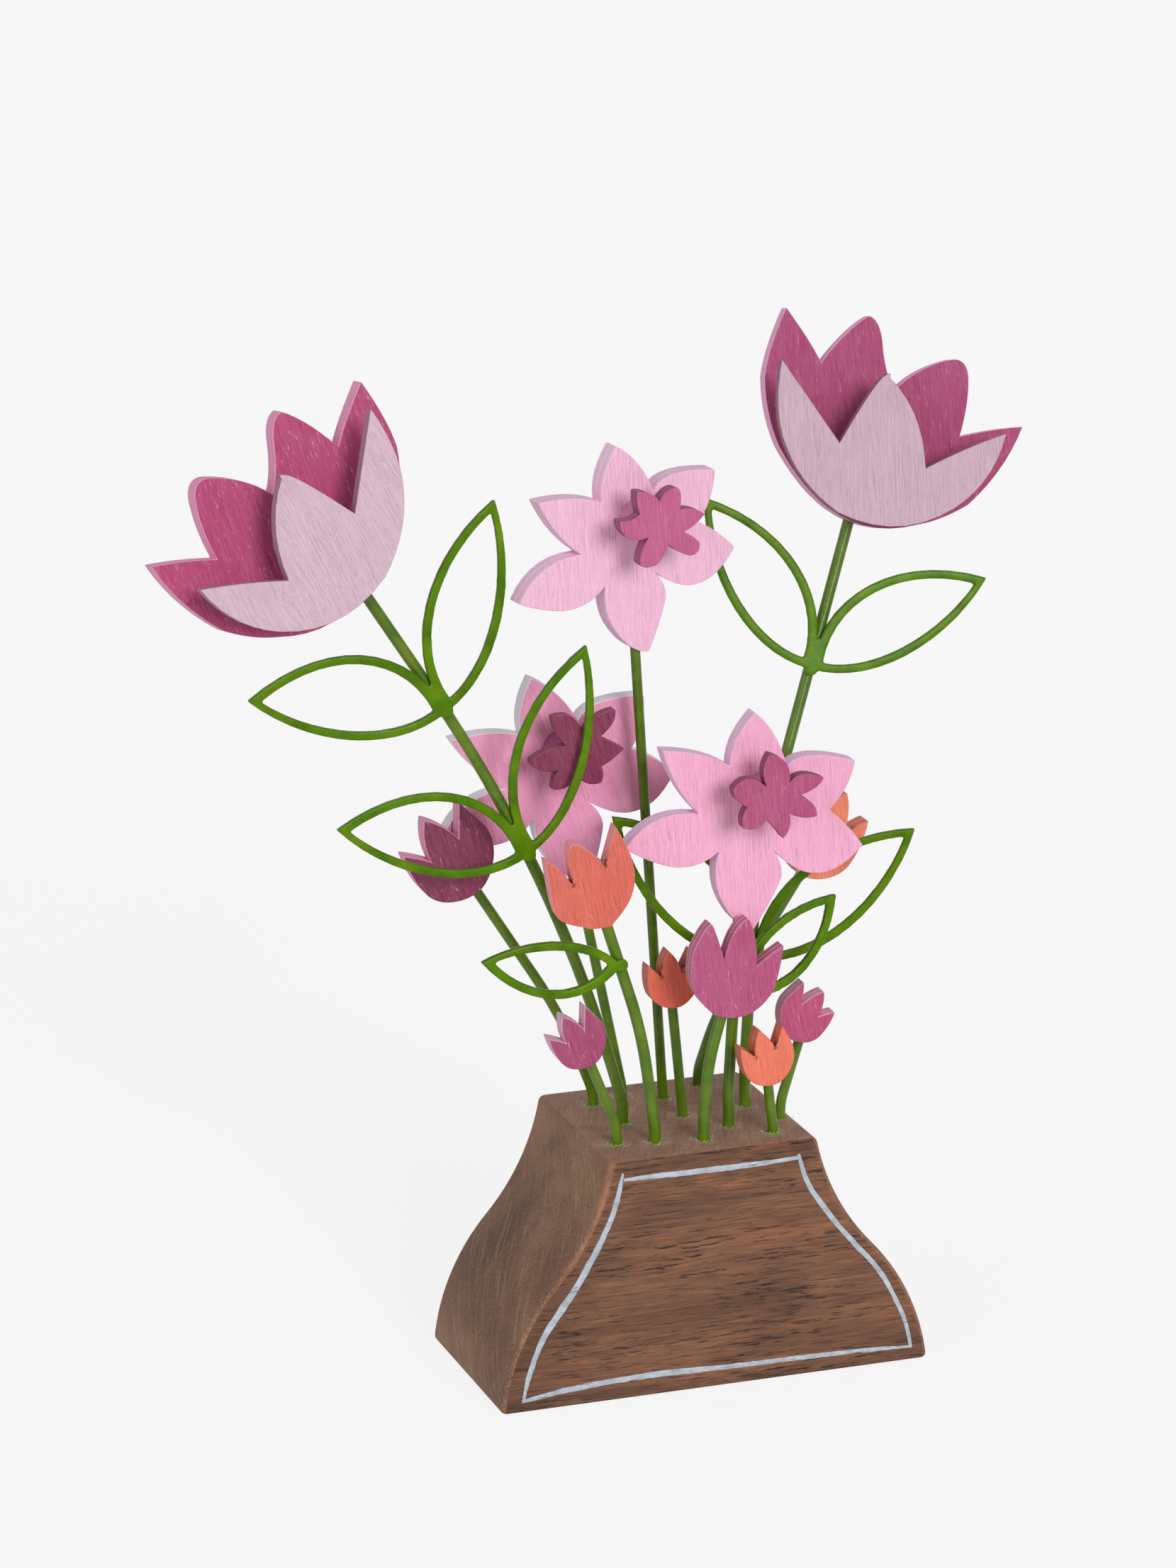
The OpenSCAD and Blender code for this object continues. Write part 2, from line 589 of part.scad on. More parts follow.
module left_tulip_upper_leaves() {
    color("forestgreen")
        pair(left_tulip, 2, ahead_left_upper_share, 0, left_upper_leaf_shares, false);
}
module left_tulip_lower_leaves() {
    color("forestgreen")
        pair(left_tulip, 1, ahead_left_lower_share, 0, left_lower_leaf_shares, false);
}
module right_tulip_upper_leaves() {
    color("forestgreen")
        pair(right_tulip, 1, ahead_right_upper_share, -9, right_upper_leaf_shares, true);
}
module right_tulip_lower_leaves() {
    color("forestgreen")
        pair(right_tulip, 0, ahead_right_lower_share, -9, right_lower_leaf_shares, true);
}
module coral_tulip_leaf() {
    color("forestgreen") single(coral, 1, ahead_coral_share, 0, coral_leaf_shares);
}
module lower_daffodil_leaf() {
    color("forestgreen") single(lower_daffodil, 0, ahead_daffodil_share, 5, daffodil_leaf_shares);
}

base_block();
left_tulip_stem();
right_tulip_stem();
upper_daffodil_stem();
left_daffodil_stem();
lower_daffodil_stem();
purple_tulip_stem();
coral_tulip_stem();
rear_coral_tulip_stem();
front_magenta_tulip_stem();
small_red_tulip_stem();
small_left_tulip_stem();
small_coral_tulip_stem();
small_right_tulip_stem();
left_tulip_back();
left_tulip_front();
left_tulip_spacer();
right_tulip_back();
right_tulip_front();
right_tulip_spacer();
upper_daffodil_petals();
upper_daffodil_star();
upper_daffodil_spacer();
left_daffodil_petals();
left_daffodil_star();
left_daffodil_spacer();
lower_daffodil_petals();
lower_daffodil_star();
lower_daffodil_spacer();
purple_tulip();
coral_tulip();
rear_coral_tulip();
front_magenta_tulip();
small_red_tulip();
small_left_tulip();
small_coral_tulip();
small_right_tulip();
left_tulip_upper_leaves();
left_tulip_lower_leaves();
right_tulip_upper_leaves();
right_tulip_lower_leaves();
coral_tulip_leaf();
lower_daffodil_leaf();
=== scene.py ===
# %% [markdown]
# # A bunch of painted wooden flowers in a wooden block
# The real object is flat flowers sawn from thin board, painted, and set on
# green wires that stand in a stained block. The solids come from a packed
# model, already in place. This lesson gives each one its softened edges, its
# paint and its grain, and then adds the small hand-made marks: the painted
# line, and the crumbs of paint and dust round the wires.

import math
import random

import bmesh
import bpy
from mathutils import Matrix, Vector, noise


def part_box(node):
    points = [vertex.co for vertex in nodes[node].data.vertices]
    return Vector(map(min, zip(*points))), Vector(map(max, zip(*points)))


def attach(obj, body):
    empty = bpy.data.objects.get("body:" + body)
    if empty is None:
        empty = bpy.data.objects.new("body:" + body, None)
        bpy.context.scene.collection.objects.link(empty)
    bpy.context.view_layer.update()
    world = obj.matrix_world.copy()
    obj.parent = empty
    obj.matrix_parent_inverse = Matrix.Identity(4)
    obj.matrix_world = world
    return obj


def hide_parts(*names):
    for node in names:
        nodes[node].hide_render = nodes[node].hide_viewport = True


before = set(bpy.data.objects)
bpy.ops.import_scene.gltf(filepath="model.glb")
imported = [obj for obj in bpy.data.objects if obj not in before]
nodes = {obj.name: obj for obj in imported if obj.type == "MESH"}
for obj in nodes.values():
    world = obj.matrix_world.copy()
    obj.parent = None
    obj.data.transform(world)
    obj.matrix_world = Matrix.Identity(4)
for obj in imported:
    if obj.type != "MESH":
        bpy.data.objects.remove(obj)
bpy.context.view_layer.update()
MM = 0.001

# %% [markdown]
# ## Colour and node helpers
# Colours are written as the eye sees them, in hex, and shaders want linear
# values, so one function turns one into the other. A second one adds a node:
# each entry it is given sets a property or an input, or, where the entry is
# another node's output, links it. That keeps each finish short to read.


# %% Helpers for materials
def hue(code, strength=1.0, pale=0.0):
    """A hex colour as Blender's linear colour, scaled and mixed with a share of white."""
    parts = [int(code[i:i + 2], 16) / 255 for i in (0, 2, 4)]
    linear = Vector([c / 12.92 if c <= 0.04045 else ((c + 0.055) / 1.055) ** 2.4 for c in parts])
    return (*(linear * strength).lerp(Vector((1, 1, 1)), pale), 1)


def put(tree, kind, entries=None):
    """Adds a node, and sets or links each property and input that is named."""
    node = tree.nodes.new(kind)
    for key, value in (entries or {}).items():
        if isinstance(value, bpy.types.NodeSocket):
            tree.links.new(value, node.inputs[key])
        elif isinstance(key, str) and hasattr(node, key):
            setattr(node, key, value)
        else:
            node.inputs[key].default_value = value
    return node


def blank(name, rough=0.5, shine=0.5):
    """A new material with its tree, its shader and its object coordinates."""
    material = bpy.data.materials.new(name)
    material.use_nodes = True
    tree = material.node_tree
    tree.nodes.clear()
    shader = put(tree, "ShaderNodeBsdfPrincipled",
                 {"Roughness": rough, "Specular IOR Level": shine})
    put(tree, "ShaderNodeOutputMaterial", {"Surface": shader.outputs[0]})
    place = put(tree, "ShaderNodeTexCoord").outputs["Object"]
    return material, tree, shader, place


# %% [markdown]
# ## Patterns by real size
# Wood grain, brush marks and saw marks are all the same kind of pattern: noise
# drawn out in one direction, whose streaks are given in millimetres. A picture
# of wood could be laid on as well, but noise needs no file and runs through a
# board as its grain does. What is too fine to show is drawn coarser, and a
# comment there says so. Dust and bare spots follow places instead: how near a
# point of the surface is to any of them. Where such patterns meet, they are
# brought to a level and multiplied. A finish is then built as a painter would,
# by glazes: each lays one more tone over the colour below it, as strongly as
# its patterns allow.


# %% Streaks, nearness, levels and glazes
def streaks(tree, place, size_mm, detail=2.0, roughness=0.55, distortion=0.0):
    """Noise drawn out to streaks that are size_mm = (x, y, z) long."""
    scale = tuple(1 / (c * MM) for c in size_mm)
    scaled = put(tree, "ShaderNodeMapping", {"Scale": scale, "Vector": place}).outputs[0]
    return put(tree, "ShaderNodeTexNoise", {
        "Scale": 1.0, "Detail": detail, "Roughness": roughness,
        "Distortion": distortion, "Vector": scaled}).outputs["Fac"]


def level(tree, *parts):
    """The product of its parts, as one value.

    A part is a value, or a pattern with two of its levels and, where they
    aren't 0 and 1, what those two become. Beyond them nothing changes.
    """
    product = None
    for part in parts:
        if isinstance(part, tuple):
            pattern, low, high, *ends = part
            at_low, at_high = ends or (0.0, 1.0)
            part = put(tree, "ShaderNodeMapRange", {
                "Value": pattern, "From Min": low, "From Max": high,
                "To Min": at_low, "To Max": at_high}).outputs[0]
        product = part if product is None else put(
            tree, "ShaderNodeMath", {"operation": "MULTIPLY", 0: product, 1: part}).outputs[0]
    return product


def nearness(tree, place, points, full_mm, reach_mm):
    """1 within full_mm of any point, falling to 0 at reach_mm from it."""
    nearest = None
    for point in points:
        away = put(tree, "ShaderNodeVectorMath",
                   {"operation": "DISTANCE", 0: place, 1: point}).outputs["Value"]
        nearest = away if nearest is None else put(
            tree, "ShaderNodeMath", {"operation": "MINIMUM", 0: away, 1: nearest}).outputs[0]
    return level(tree, (nearest, full_mm * MM, reach_mm * MM, 1.0, 0.0))


def glaze(tree, under, over, *parts, way="MIX"):
    """Lays one colour over another, as strongly as the level of its parts."""
    return put(tree, "ShaderNodeMix", {
        "data_type": "RGBA", "blend_type": way,
        0: level(tree, *parts), 6: under, 7: over}).outputs[2]


def finish(tree, shader, colour, relief, strength, depth_mm):
    """Gives the shader its colour, and a relief of a given depth."""
    tree.links.new(colour, shader.inputs["Base Color"])
    bump = put(tree, "ShaderNodeBump",
               {"Strength": strength, "Distance": depth_mm * MM, "Height": relief})
    tree.links.new(bump.outputs[0], shader.inputs["Normal"])


# %% [markdown]
# ## Softened copies of the solids
# The solids arrive as loose triangles with knife-sharp edges. A copy is
# merged, its flat faces are made whole again, and its outline edges get a
# small round by bevel. A modifier could bevel them as well, but the operator
# takes a list of edges, so a rim can be rounded and a hole left sharp. The copy
# then stands for the solid it was made from.

# %% Copy a solid and soften its edges
WELD_MM, FLAT_TURN = 0.004, math.radians(1)


def merged(node, whole_faces=True):
    """A bmesh of a solid with its triangles joined, and its flat faces made whole."""
    work = bmesh.new()
    work.from_mesh(nodes[node].data)
    bmesh.ops.remove_doubles(work, verts=work.verts, dist=WELD_MM * MM)
    if whole_faces:
        bmesh.ops.dissolve_limit(work, angle_limit=FLAT_TURN, verts=work.verts, edges=work.edges)
    return work


def as_object(work, name):
    """Turns a bmesh into an object that sits at the origin."""
    mesh = bpy.data.meshes.new(name)
    work.to_mesh(mesh)
    work.free()
    piece = bpy.data.objects.new(name, mesh)
    bpy.context.scene.collection.objects.link(piece)
    return piece


def softened(node, name, round_mm, segments=2, sharp=25, merge_mm=0.0, wanted=lambda edge: True):
    """A copy of a solid with the wanted edges rounded where they are sharp.

    Where merge_mm is given, edges shorter than that are closed up first, and
    the round is held to what they leave.
    """
    work = merged(node)
    if merge_mm > 0:
        bmesh.ops.dissolve_degenerate(work, edges=work.edges, dist=merge_mm * MM)
    edges = [e for e in work.edges if len(e.link_faces) == 2
             and math.degrees(e.calc_face_angle(0)) > sharp and wanted(e)]
    if round_mm > 0:
        bmesh.ops.bevel(work, geom=edges, offset=round_mm * MM, offset_type="OFFSET",
                        affect="EDGES", segments=segments, profile=0.5, material=-1,
                        clamp_overlap=merge_mm > 0)
    return as_object(work, name)


def hand_over(piece, node):
    """The new piece rides with the body and, where one is named, stands for a solid."""
    if node:
        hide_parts(node)
    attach(piece, "root")


# %% [markdown]
# ## Where each board lies
# Every flower board is flat, but each one is tilted and turned its own way.
# The grain of the wood and the layers of the board's edge follow the board,
# so the script reads the board's face direction from its solid: the direction
# that most of its surface faces. The rest of the frame is up and across.


# %% Read a board's own frame
def board_frame(solid):
    """The board's turn as a matrix (across, up, out of its face) and its middle."""
    areas = {}
    for face in solid.data.polygons:
        key = tuple(round(c, 2) for c in face.normal)
        area, total = areas.get(key, (0, Vector()))
        areas[key] = (area + face.area, total + face.normal * face.area)
    out = max(areas.values(), key=lambda entry: entry[0])[1].normalized()
    if out.y > 0:
        out = -out
    across = Vector((0, 0, 1)).cross(out).normalized()
    turn = Matrix((across, out.cross(across), out)).transposed()
    local = [turn.transposed() @ v.co for v in solid.data.vertices]
    middle = Vector([(max(p[i] for p in local) + min(p[i] for p in local)) / 2 for i in range(3)])
    return turn, turn @ middle


for name in ("left_tulip_front", "upper_daffodil_petals"):
    print(name, "faces", [round(c, 2) for c in board_frame(nodes[name])[0].col[2]])

# %% [markdown]
# ## Painted board
# The flowers are thin plywood: sawn by scroll saw, sanded, and brushed with
# matt paint. The colour is nearly flat. What tells wood from plastic is the
# grain under it: fine raised lines half a millimetre apart, which catch the
# light, and here and there a pale speck on a line, painted as a glint. So most
# of the finish is in its relief and little in its colour. In the notches
# between two petals the brush often missed the wood.


# %% The painted face of a board
def painted_face(name, code, turn, middle, lean=0.0, specks=0.0, notches=()):
    """Matt paint over open grain: fine raised lines, soft patches, and pale specks of painted
    glint.
    """
    material, tree, shader, place = blank(name, shine=0.35)
    turned = turn.to_4x4() @ Matrix.Rotation(math.radians(lean), 4, "Z")
    own = put(tree, "ShaderNodeMapping", {"vector_type": "TEXTURE", "Location": middle,
              "Rotation": turned.to_euler(), "Vector": place}).outputs[0]
    lines = streaks(tree, own, (0.55, 7, 4), 3.0, 0.62, 0.5)
    broad = streaks(tree, own, (2.2, 16, 8), 2.0)
    patches = streaks(tree, own, (9, 14, 9), 1.0)
    body = glaze(tree, hue(code, 0.88), hue(code, pale=0.07), (lines, 0.32, 0.68))
    body = glaze(tree, body, hue(code, 1.03, 0.03), (broad, 0.35, 0.65, 0.0, 0.5))
    body = glaze(tree, body, hue(code, 0.94), (patches, 0.4, 0.7, 0.0, 0.45))
    # Pale specks on the grain lines are painted glints, where the top of a line catches the light.
    rubbed = streaks(tree, own, (0.5, 3.2, 2), 3.0, 0.65)
    body = glaze(tree, body, hue(code, pale=0.5), (rubbed, 0.62, 0.7, 0.0, specks))
    if notches:
        ragged = streaks(tree, own, (0.6, 0.9, 0.9), 2.0)
        body = glaze(tree, body, hue("6E3A22"), nearness(tree, place, notches, 0.1, 0.9),
                     (ragged, 0.42, 0.5, 0.1, 1.0))
    rough = level(tree, (lines, 0.3, 0.7, 0.48, 0.62))
    tree.links.new(rough, shader.inputs["Roughness"])
    raised = level(tree, lines, (broad, 0.3, 0.6, 0.45, 1.0))
    finish(tree, shader, body, raised, 1.0, 0.7)
    return material


# %% [markdown]
# ## The sawn edge
# A plywood edge shows five layers of about 1 mm. The end grain of the crossed
# ones drinks more paint and goes deeper in tone, and the saw leaves a fuzz. A
# colour ramp across the board's thickness draws the layers, so it needs the
# distance from the board's middle, which its own frame gives.

# %% The sawn edge of a board
LAYERS = ((0, "pale"), (0.19, "pale"), (0.24, "deep"), (0.36, "base"), (0.42, "pale"),
          (0.58, "pale"), (0.63, "deep"), (0.76, "base"), (0.81, "pale"), (1, "pale"))


def fill(ramp, stops):
    """Puts (place, colour) stops on a colour ramp, the first and last on its own two."""
    for element, (at, colour) in zip(ramp.elements, (stops[0], stops[-1])):
        element.position, element.color = at, colour
    for at, colour in stops[1:-1]:
        ramp.elements.new(at).color = colour


def sawn_edge(name, code, turn, middle, half_thick, layered, notches=()):
    """Thinner, paler paint on the edge, with the board's layers as faint bands."""
    material, tree, shader, place = blank(name, 0.66, 0.3)
    own = put(tree, "ShaderNodeMapping", {"vector_type": "TEXTURE", "Location": middle,
              "Rotation": turn.to_euler(), "Vector": place}).outputs[0]
    depth = put(tree, "ShaderNodeSeparateXYZ", {"Vector": own}).outputs["Z"]
    tones = {"pale": hue(code, pale=0.04 + 0.2 * layered), "base": hue(code),
             "deep": hue(code, 0.95 - 0.35 * layered)}
    layers = put(tree, "ShaderNodeValToRGB", {"Fac": level(tree, (depth, -half_thick, half_thick))})
    fill(layers.color_ramp, [(at, tones[tone]) for at, tone in LAYERS])
    # The real fuzz is finer than this, which is as coarse as it needs to be to show.
    saw = streaks(tree, own, (1.11, 1.11, 1.11), 3.0, 0.5)
    body = glaze(tree, layers.outputs[0], tones["deep"], (saw, 0.4, 0.7, 0.0, 0.3))
    if notches:
        ragged = streaks(tree, own, (1.0, 1.0, 1.6), 3.0)
        body = glaze(tree, body, hue("7A4228"), nearness(tree, place, notches, 1.6, 5.0),
                     (ragged, 0.46, 0.54))
    finish(tree, shader, body, saw, 0.4, 0.2)
    return material


# %% [markdown]
# ## The flowers
# Each board gets its own colour from the photo, its edge colour, and the way
# its grain leans. The big tulips have pale lilac boards in front of magenta
# ones, the daffodils have darker stars, and the small tulips are single boards.

# %% Colours of the boards: face, edge, lean of the grain in degrees, painted glints, layers
BOARDS = {
    "left_tulip_back": ("BC3E75", "F6A5CC", 18, 0.7, 0.2),
    "left_tulip_front": ("DBB9CA", "AC7A92", 26, 0.5, 0.2),
    "right_tulip_back": ("AD3A70", "FFB7DE", 4, 0.4, 0.2),
    "right_tulip_front": ("CEABBC", "956171", 0, 0.2, 0.2),
    "upper_daffodil_petals": ("FFC5E3", "FFD1ED", 4, 0.2, 0.3),
    "upper_daffodil_star": ("CA5C8C", "9E4772", 8, 0.3, 0.3),
    "left_daffodil_petals": ("FFA8D0", "FFF7FF", 18, 0.2, 0.3),
    "left_daffodil_star": ("88204D", "933457", 14, 0.2, 0.3),
    "lower_daffodil_petals": ("FFB4D6", "FFD3F4", 3, 0.2, 0.3),
    "lower_daffodil_star": ("B8497A", "932E5D", 6, 0.3, 0.3),
    "purple_tulip": ("85254F", "EF9EC2", 20, 0.6, 0.5),
    "coral_tulip": ("E36754", "FFA2A6", 10, 0.3, 0.3),
    "rear_coral_tulip": ("FF8D6C", "F28A70", 10, 0.3, 0.3),
    "front_magenta_tulip": ("BA4B7B", "D56C96", 5, 0.5, 1.0),
    "small_red_tulip": ("FF7152", "D8705C", 6, 0.4, 0.6),
    "small_left_tulip": ("AA3C6C", "F0BAD3", 16, 0.8, 0.6),
    "small_coral_tulip": ("F4785B", "EA7556", 6, 0.4, 0.4),
    "small_right_tulip": ("C54979", "FFAED4", 8, 0.6, 1.0),
}
BARE_NOTCHES = ("coral_tulip", "small_red_tulip", "small_coral_tulip", "rear_coral_tulip")


# %% Find a board's notches
def notches_of(node, out, turn_deg=60):
    """The points of a board's front face where its outline turns sharply inwards."""
    work = merged(node)
    face = max((f for f in work.faces if f.normal.dot(out) > 0.99), key=lambda f: f.calc_area())
    found = []
    for loop in face.loops:
        ahead = loop.link_loop_next.vert.co - loop.vert.co
        behind = loop.vert.co - loop.link_loop_prev.vert.co
        inward = behind.cross(ahead).dot(face.normal) < 0
        if inward and math.degrees(behind.angle(ahead)) > turn_deg:
            found.append(loop.vert.co.copy())
    work.free()
    return found


# %% Make the flower boards
# Round and merge distance in mm. The short edges of a thin board are closed up
# first, and its round is held to what they leave.
THIN_BOARD, THICK_BOARD = (0.35, 0.3), (0.3, 0.0)

for node, (face_code, edge_code, lean, specks, layered) in BOARDS.items():
    turn, middle = board_frame(nodes[node])
    out = turn.col[2].copy()
    depths = [out.dot(v.co) for v in nodes[node].data.vertices]
    half_thick = (max(depths) - min(depths)) / 2
    notches = notches_of(node, out) if node in BARE_NOTCHES else ()
    round_mm, merge_mm = THIN_BOARD if node.endswith(("_front", "_star")) else THICK_BOARD
    piece = softened(node, node + "_board", round_mm, merge_mm=merge_mm)
    piece.data.materials.append(
        painted_face(node + "_brushed_paint", face_code, turn, middle, lean, specks, notches))
    piece.data.materials.append(
        sawn_edge(node + "_sawn_edge", edge_code, turn, middle, half_thick, layered, notches))
    for face in piece.data.polygons:
        face.material_index = 0 if abs(face.normal.dot(out)) > 0.9 else 1
    hand_over(piece, node)
    if notches:
        print(node, "notches:", len(notches))
print("boards made:", len(BOARDS))

# %% [markdown]
# ## Green wires
# The stems are steel wire brushed with a satin green paint. It is a little
# yellower where it is thin and darker where it ran together, and it is glossy
# enough to carry one broad soft highlight along each wire. The solids have the
# right shape already, so they only need the paint.


# %% Green paint on wire and leaves
def green_paint(name, thin, body, thick, patch_mm, gloss=0.3):
    """Satin paint laid on by brush: three near greens in patches, with brush ripples."""
    material, tree, shader, place = blank(name, 0.27, gloss)
    patches = streaks(tree, place, (patch_mm, patch_mm, patch_mm), 3.0)
    tone = put(tree, "ShaderNodeValToRGB", {"Fac": patches})
    fill(tone.color_ramp, [(0.32, hue(thick)), (0.5, hue(body)), (0.72, hue(thin))])
    # The brush's ripples are drawn wider than real ones, so that they show.
    ripples = streaks(tree, place, (1.667, 1.667, 1.667), 2.0, 0.5)
    finish(tree, shader, tone.outputs[0], ripples, 0.3, 0.15)
    return material


wire_paint = green_paint("satin_green_on_wire", "657F0A", "527206", "456304", 8, 0.38)
leaf_paint = green_paint("satin_green_on_leaf", "668A0C", "547C06", "446A04", 9, 0.09)
# The loops' sides take a darker copy of the same green: painted shade where they turn from the
# light.
leaf_side_painted_shade = green_paint("green_with_painted_side_shade", "5A7C0A", "4A6C06", "3A5604", 6)
stems = [n for n in nodes if n.endswith("_stem")]
for node in stems:
    nodes[node].data.materials.clear()
    nodes[node].data.materials.append(wire_paint)
    for face in nodes[node].data.polygons:
        face.use_smooth = True
print("stems painted:", len(stems))

# %% [markdown]
# ## Leaf loops
# Each leaf is a flat loop, and a pair of leaves is one piece. Thick paint has
# rounded its corners and filled the joints, so the strip looks soft, bright
# along its middle and darker towards its sides. A bevel can't do that where two
# strips meet at a sharp angle. A voxel remesh can: it wraps the whole loop in
# one even skin, which a few rounds of smoothing then ease. Its sides also take
# a darker copy of the green, as painted shade.

# %% Make the leaf loops
VOXEL_MM, SMOOTHINGS = 0.36, 4
leaves = [n for n in nodes if n.endswith(("_leaves", "_leaf"))]
for node in leaves:
    out = board_frame(nodes[node])[0].col[2].copy()
    piece = softened(node, node + "_loop", 0.0)
    skin = piece.modifiers.new("paint_skin", "REMESH")
    skin.mode, skin.voxel_size = "VOXEL", VOXEL_MM * MM
    skinned = piece.evaluated_get(bpy.context.evaluated_depsgraph_get())
    work = bmesh.new()
    work.from_mesh(skinned.to_mesh())
    skinned.to_mesh_clear()
    for _ in range(SMOOTHINGS):
        bmesh.ops.smooth_vert(work, verts=work.verts, factor=0.5, use_axis_x=True,
                              use_axis_y=True, use_axis_z=True)
    piece.modifiers.clear()
    work.to_mesh(piece.data)
    work.free()
    piece.data.materials.append(leaf_paint)
    piece.data.materials.append(leaf_side_painted_shade)
    # Faces turned more than about 53 degrees from the loop's face get the darker green, as painted
    # shade on its sides.
    for face in piece.data.polygons:
        face.material_index = 0 if abs(face.normal.dot(out)) > 0.6 else 1
        face.use_smooth = True
    hand_over(piece, node)
    print(node, "faces:", len(piece.data.polygons))

# %% [markdown]
# ## Dowels between the boards
# Short round pegs hold the stars and the front boards off. They took some of
# the paint, so each is brushed in a dull tone of its flower, darkened further
# as painted shade, since they sit in the shade between the boards.

# %% Paint the dowels
# Dull tones of each flower's paint, darkened as painted shade for the gap between the boards.
DOWELS = {"left_tulip": "B06A90", "right_tulip": "B06A90", "upper_daffodil": "D98BAE",
          "left_daffodil": "A5507C", "lower_daffodil": "C87AA0"}
for flower, code in DOWELS.items():
    node = flower + "_spacer"
    nodes[node].data.materials.clear()
    nodes[node].data.materials.append(
        painted_face(flower + "_dowel_paint", code, *board_frame(nodes[node])))
print("dowels painted:", len(DOWELS))

# %% [markdown]
# ## Where the wires enter the block
# Thirteen wires stand in drilled holes. Drilling left pale dust round each
# hole, and the green paint left crumbs. Both need the point where each wire
# crosses the block's top, so the script cuts a copy of each wire there with
# bisect and takes the middle of the cut.

# %% Find the feet of the wires
block_low, block_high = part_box("base_block")
top_z = block_high[2]
feet = {}
for node in stems:
    work = merged(node, whole_faces=False)
    cut = bmesh.ops.bisect_plane(work, geom=work.verts[:] + work.edges[:] + work.faces[:],
                                 plane_co=(0, 0, top_z), plane_no=(0, 0, 1))["geom_cut"]
    ring = [g.co for g in cut if isinstance(g, bmesh.types.BMVert)]
    middle = sum(ring, Vector()) / len(ring)
    feet[node] = (middle, max((p - middle).length for p in ring))
    work.free()
print("feet:", {n: [round(c / MM, 1) for c in f[0]] for n, f in feet.items()})

# %% [markdown]
# ## The front of the block
# The block is a dense brown hardwood, stained dark. Its grain runs from side
# to side, so the front shows long streaks with short dark pores between them.
# Two noises drawn out along the grain add up to one tone, which a ramp turns to
# browns. The stain lay thicker in clouds. Outside the painted line, along the
# foot and the brow, the front is darkened in patches as painted shade, where it
# turns under towards the table and over to the top.


# %% Wood along the grain
# The strips of painted shade along the foot and the brow, as heights in mm:
# where each begins to show, and where it is full.
SHADE_STRIPS_MM = ((4.5, 3), (63, 66))


def front_wood(tree, place, rise, pores, worn):
    """Red-brown streaks, short dark pores, clouds of thicker stain, and strips of painted shade."""
    bands = streaks(tree, place, (80, 9, 5), 4.0, 0.6, 0.7)
    fine = streaks(tree, place, (12, 2, 0.7), 4.0, 0.65, 0.3)
    mixed = put(tree, "ShaderNodeMath", {"operation": "MULTIPLY_ADD", 0: fine, 1: 0.6,
                2: level(tree, (bands, 0, 1, 0, 0.4))}).outputs[0]
    tone = put(tree, "ShaderNodeValToRGB", {"Fac": mixed})
    fill(tone.color_ramp, [(0.33, hue("4E362A")), (0.44, hue("6E4B39")),
                           (0.54, hue("7F573F")), (0.67, hue("9A6647"))])
    zones = streaks(tree, place, (34, 12, 10), 2.0)
    wood = glaze(tree, tone.outputs[0], hue("33231D"), (pores, 0.445, 0.385),
                 (zones, 0.36, 0.58, 0.3, 1.0))
    clouds = streaks(tree, place, (44, 20, 15), 4.0, 0.6, 0.5)
    wood = glaze(tree, wood, (0.56, 0.58, 0.62, 1), (clouds, 0.44, 0.66, 0.0, 0.85),
                 way="MULTIPLY")
    # Painted shade along the foot and the brow, broken up by the worn patches.
    for inner_mm, outer_mm in SHADE_STRIPS_MM:
        wood = glaze(tree, wood, (0.6, 0.62, 0.66, 1), (rise, inner_mm * MM, outer_mm * MM),
                     (worn, 0.62, 0.4, 0.3, 1.0), way="MULTIPLY")
    return wood


# %% [markdown]
# ## The top and the flanks of the block
# The top was smoothed with a file, whose fine scratches slant from front to
# back. The flanks cut across the grain, so they show speckled end grain with
# pale saw marks, and their hollows, where stain pooled, are darker. Scratches
# and saw marks are streaks again, on coordinates that are turned first.


# %% Wood across the grain
POOL_MM = (45, 4, 37)  # where the stain pooled in the right flank; the left one mirrors it


def turned_by(tree, place, *degrees):
    """The coordinates, turned so that streaks slant."""
    angles = [math.radians(a) for a in degrees]
    return put(tree, "ShaderNodeMapping", {"Rotation": angles, "Vector": place}).outputs[0]


def top_wood(tree, place, worn, dots):
    """File scratches half a millimetre apart, worn darker patches and specks."""
    filed = streaks(tree, turned_by(tree, place, 0, 0, 24), (0.5, 10, 4), 3.0, 0.6)
    wood = glaze(tree, hue("926E5A"), hue("BE947A"), (filed, 0.3, 0.7))
    wood = glaze(tree, wood, hue("735547"), (worn, 0.35, 0.7, 0.0, 0.6))
    return glaze(tree, wood, hue("4A3830"), (dots, 0.44, 0.34, 0.0, 0.6))


def flank_wood(tree, place, dots):
    """End grain in two tones, pooled stain, pale saw marks, dark and pale specks."""
    cloudy = streaks(tree, place, (60, 34, 30), 5.0, 0.62, 0.4)
    wood = glaze(tree, hue("73513E"), hue("9C7458"), (cloudy, 0.36, 0.64))
    across, back, up = POOL_MM
    hollows = [(side * across * MM, back * MM, up * MM) for side in (-1, 1)]
    wood = glaze(tree, wood, hue("573D2F"), nearness(tree, place, hollows, 4, 34),
                 (cloudy, 0.66, 0.4, 0.25, 1.0))
    saw = streaks(tree, turned_by(tree, place, -40, 0, 0), (40, 22, 1.1), 4.0, 0.7, 0.8)
    wood = glaze(tree, wood, hue("B7957A"), (saw, 0.53, 0.66, 0.0, 0.55))
    wood = glaze(tree, wood, hue("422F27"), (dots, 0.47, 0.35, 0.0, 0.75))
    return glaze(tree, wood, hue("C09F85"), (dots, 0.6, 0.7, 0.0, 0.6))


# %% [markdown]
# ## The rubbed edge
# Along the front's outline the stain is rubbed to a redder brown. To find that
# edge, a float curve holds the outline's half width at each height, read from
# the solid. It tells the finish how far a point of the front is from the edge.


